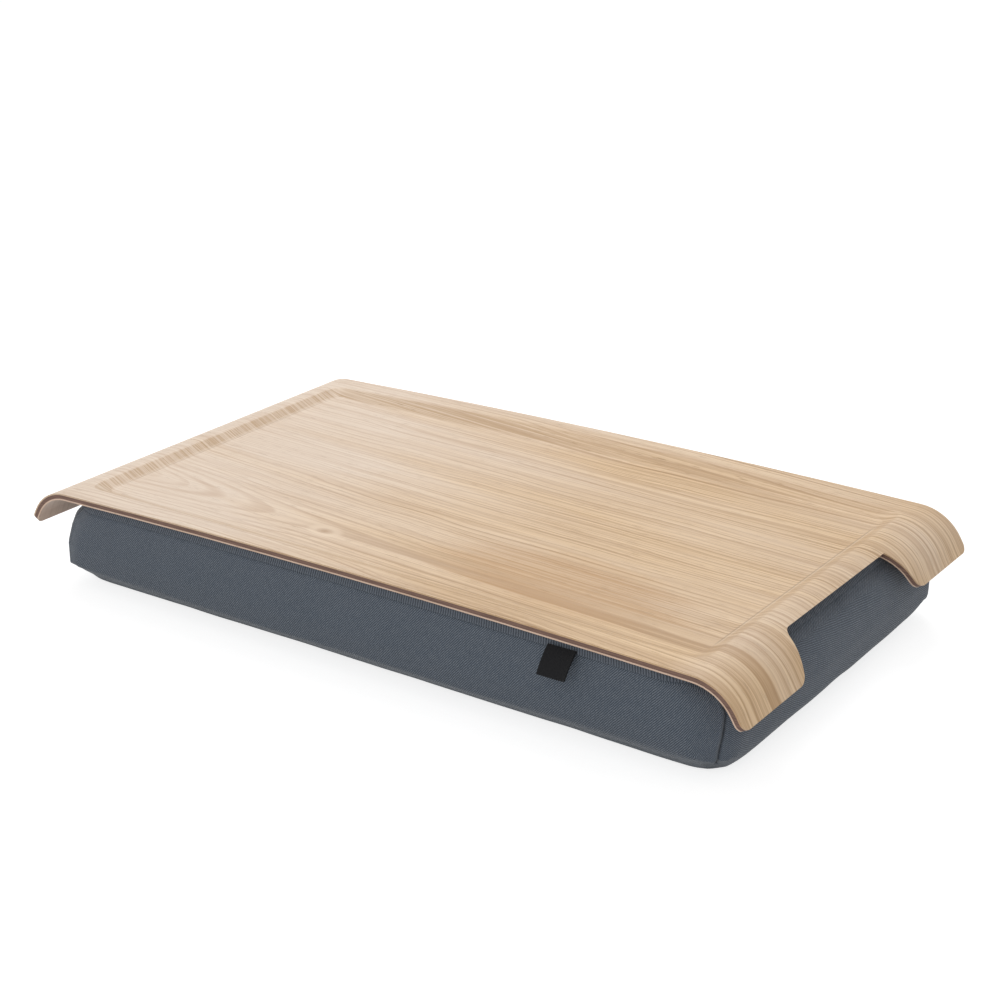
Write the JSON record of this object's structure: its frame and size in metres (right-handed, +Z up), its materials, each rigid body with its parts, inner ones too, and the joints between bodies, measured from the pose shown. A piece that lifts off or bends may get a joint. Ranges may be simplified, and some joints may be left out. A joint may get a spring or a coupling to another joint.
{
  "type": "lap tray with cushion",
  "caption": "Press-moulded wood lap tray with curled ends, hand notches and a recessed floor, fixed by hook and loop to a bead-filled cushion in a zipped cloth cover.",
  "frame": {"origin": "middle of the flat area under the cushion, on which the part rests", "axes": "+X along the tray towards the end with the label tab, -Y towards the front with the label tab, +Z up"},
  "size_m": [0.46, 0.2602, 0.062],
  "materials": {
    "face_veneer": "satin",
    "core_veneer": "matte",
    "back_veneer": "satin",
    "cover_cloth": "woven twill",
    "hem_cloth": "ribbed",
    "lining_cloth": "plain weave",
    "beads": "matte",
    "label_ribbon": "woven satin",
    "zip_ribbon": "herringbone",
    "zip_coil": "matte",
    "zip_metal": "nickel plated",
    "hook_tape": "hooked pile",
    "loop_tape": "looped pile"
  },
  "bodies": {
    "cushion": {"loop_strip_left": "loop_tape", "loop_strip_right": "loop_tape", "hem_band": "hem_cloth", "cover_front_panel": "cover_cloth", "cover_back_panel": "cover_cloth", "cover_left_end": "cover_cloth", "cover_right_end": "cover_cloth", "cover_bottom_panel": "cover_cloth", "cover_top_panel": "cover_cloth", "inner_bag": "lining_cloth", "bead_filling": "beads", "label_tab": "label_ribbon", "zip_tape_upper": "zip_ribbon", "zip_tape_lower": "zip_ribbon", "zip_coil_upper": "zip_coil", "zip_coil_lower": "zip_coil", "zip_stops": "zip_metal"},
    "tray": {"tray_top_veneer": "face_veneer", "tray_core": "core_veneer", "tray_bottom_veneer": "back_veneer", "hook_strip_left": "hook_tape", "hook_strip_right": "hook_tape"},
    "slider": {"zip_slider": "zip_metal"},
    "pull": {"zip_pull": "zip_metal"}
  },
  "joints": [
    {"name": "tray_lift", "type": "slide", "parent": "cushion", "child": "tray", "axis": [0, 0, 1], "range_m": [0, 0.12]},
    {"name": "zip_run", "type": "slide", "parent": "cushion", "child": "slider", "axis": [1, 0, 0], "range_m": [0, 0.2444]},
    {"name": "pull_hinge", "type": "hinge", "parent": "slider", "child": "pull", "pos_m": [-0.1222, 0.12785, 0.031], "axis": [0, 0, 1], "range_deg": [0, 180]}
  ]
}
